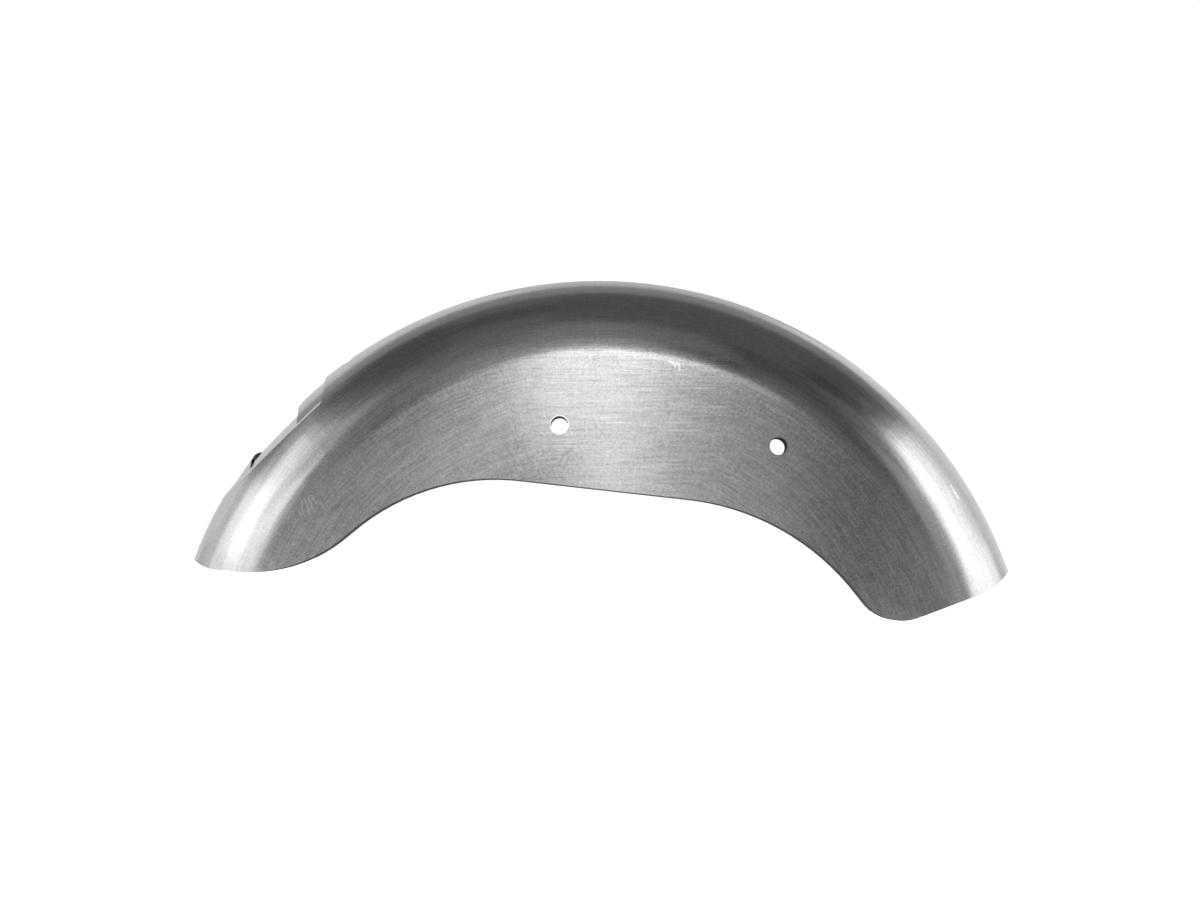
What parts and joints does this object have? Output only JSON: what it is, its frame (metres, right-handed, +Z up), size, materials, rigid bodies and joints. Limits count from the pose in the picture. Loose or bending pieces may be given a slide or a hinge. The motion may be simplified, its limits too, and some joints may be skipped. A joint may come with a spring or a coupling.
{
  "type": "motorcycle rear fender",
  "caption": "Curved, open-bottomed rear fender pressed from sheet steel, with a seat recess at its front, level strut holes in both skirts and a rubber plug in its wiring hole.",
  "frame": {"origin": "centre of the overall box in X and Y, at the lowest edge", "axes": "+X to the rear of the motorcycle along the fender, +Z up, with the strut holes level; -Y is the motorcycle's left side, the one in the picture"},
  "size_m": [0.7392, 0.16, 0.2974],
  "materials": {
    "raw_steel": "raw sheet steel sanded along the arc, satin grey",
    "black_rubber": "matt black rubber"
  },
  "bodies": {
    "root": {"fender": "raw_steel", "wiring_plug": "black_rubber"}
  },
  "joints": []
}
